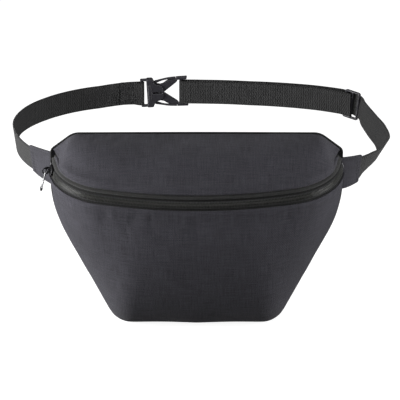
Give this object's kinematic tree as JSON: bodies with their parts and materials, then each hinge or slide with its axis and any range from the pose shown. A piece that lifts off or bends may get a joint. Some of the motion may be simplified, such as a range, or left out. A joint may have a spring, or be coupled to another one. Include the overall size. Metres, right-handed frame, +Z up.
{
  "type": "waist pack",
  "caption": "Fabric waist pack: zipped pouch with lifting top panel, side wings, webbing belt, side-release buckle and sliding adjuster.",
  "frame": {"origin": "centre of the back panel's rear face, the face that lies against the wearer", "axes": "+Y towards the wearer, +Z up, +X to the right as seen from the front of the pouch"},
  "size_m": [0.3775, 0.3158, 0.192],
  "materials": {
    "pouch_fabric": "matt woven polyester, charcoal",
    "binding_tape": "matt woven tape",
    "zip_tape": "matt woven tape",
    "zip_coil": "nylon coil, slight gloss",
    "zip_metal": "dark gunmetal, worn edges",
    "webbing": "matt ribbed webbing",
    "buckle_plastic": "moulded acetal, satin"
  },
  "bodies": {
    "bag": {"back_panel": "pouch_fabric", "front_panel": "pouch_fabric", "seam_binding": "binding_tape", "zip_tape_lower": "zip_tape", "zip_coil_lower": "zip_coil", "zip_stop_left": "zip_metal", "zip_stop_right": "zip_metal", "wing_left": "pouch_fabric", "wing_right": "pouch_fabric", "webbing_left": "webbing", "webbing_right": "webbing", "buckle_socket": "buckle_plastic"},
    "flap": {"top_panel": "pouch_fabric", "zip_tape_upper": "zip_tape", "zip_coil_upper": "zip_coil"},
    "slider": {"slider_body": "zip_metal", "slider_bridge": "zip_metal"},
    "link": {"puller_link": "zip_metal"},
    "tab": {"puller_tab": "zip_metal"},
    "plug": {"buckle_plug": "buckle_plastic"},
    "arm_upper": {"plug_arm_upper": "buckle_plastic"},
    "arm_lower": {"plug_arm_lower": "buckle_plastic"},
    "adjuster": {"tri_glide": "buckle_plastic"}
  },
  "joints": [
    {"name": "zip_travel", "type": "hinge", "parent": "bag", "child": "slider", "pos_m": [0, 0.00777, 0.06577], "axis": [0, -0.2121, 0.9773], "range_deg": [0, 160.74], "deforming": ["zip_tape_lower", "zip_coil_lower", "zip_tape_upper", "zip_coil_upper"]},
    {"name": "flap_open", "type": "hinge", "parent": "bag", "child": "flap", "pos_m": [0, -0.0053, 0.096], "axis": [-1, 0, 0], "range_deg": [0, 55], "deforming": ["zip_tape_upper", "zip_coil_upper"]},
    {"name": "puller_swing", "type": "hinge", "parent": "slider", "child": "link", "pos_m": [-0.14939, -0.0174, 0.06224], "axis": [-0.1672, 0.9635, 0.2091], "range_deg": [0, 150]},
    {"name": "tab_swing", "type": "hinge", "parent": "link", "child": "tab", "pos_m": [-0.15076, -0.01663, 0.0576], "axis": [-0.9459, -0.2166, 0.2416], "range_deg": [-25, 45]},
    {"name": "buckle_release", "type": "slide", "parent": "bag", "child": "plug", "axis": [1, 0, 0], "range_m": [0, 0.02], "deforming": ["webbing_right", "plug_arm_upper", "plug_arm_lower"]},
    {"name": "pinch_upper", "type": "hinge", "parent": "plug", "child": "arm_upper", "pos_m": [-0.02096, 0.22775, 0.0738], "axis": [0, -1, 0], "range_deg": [0, 5], "stiffness_Nm_per_rad": 1.5},
    {"name": "pinch_lower", "type": "hinge", "parent": "plug", "child": "arm_lower", "pos_m": [-0.02096, 0.22775, 0.0442], "axis": [0, 1, 0], "range_deg": [0, 5], "stiffness_Nm_per_rad": 1.5},
    {"name": "adjuster_slide", "type": "hinge", "parent": "bag", "child": "adjuster", "pos_m": [-0.01476, -0.09965, 0.059], "axis": [0, 0, 1], "range_deg": [0, 13], "deforming": ["webbing_right"]}
  ],
  "couplings": [
    {"joint": "flap_open", "follows": "zip_travel", "ratio": 0.3421},
    {"joint": "pinch_lower", "follows": "pinch_upper", "ratio": 1}
  ]
}
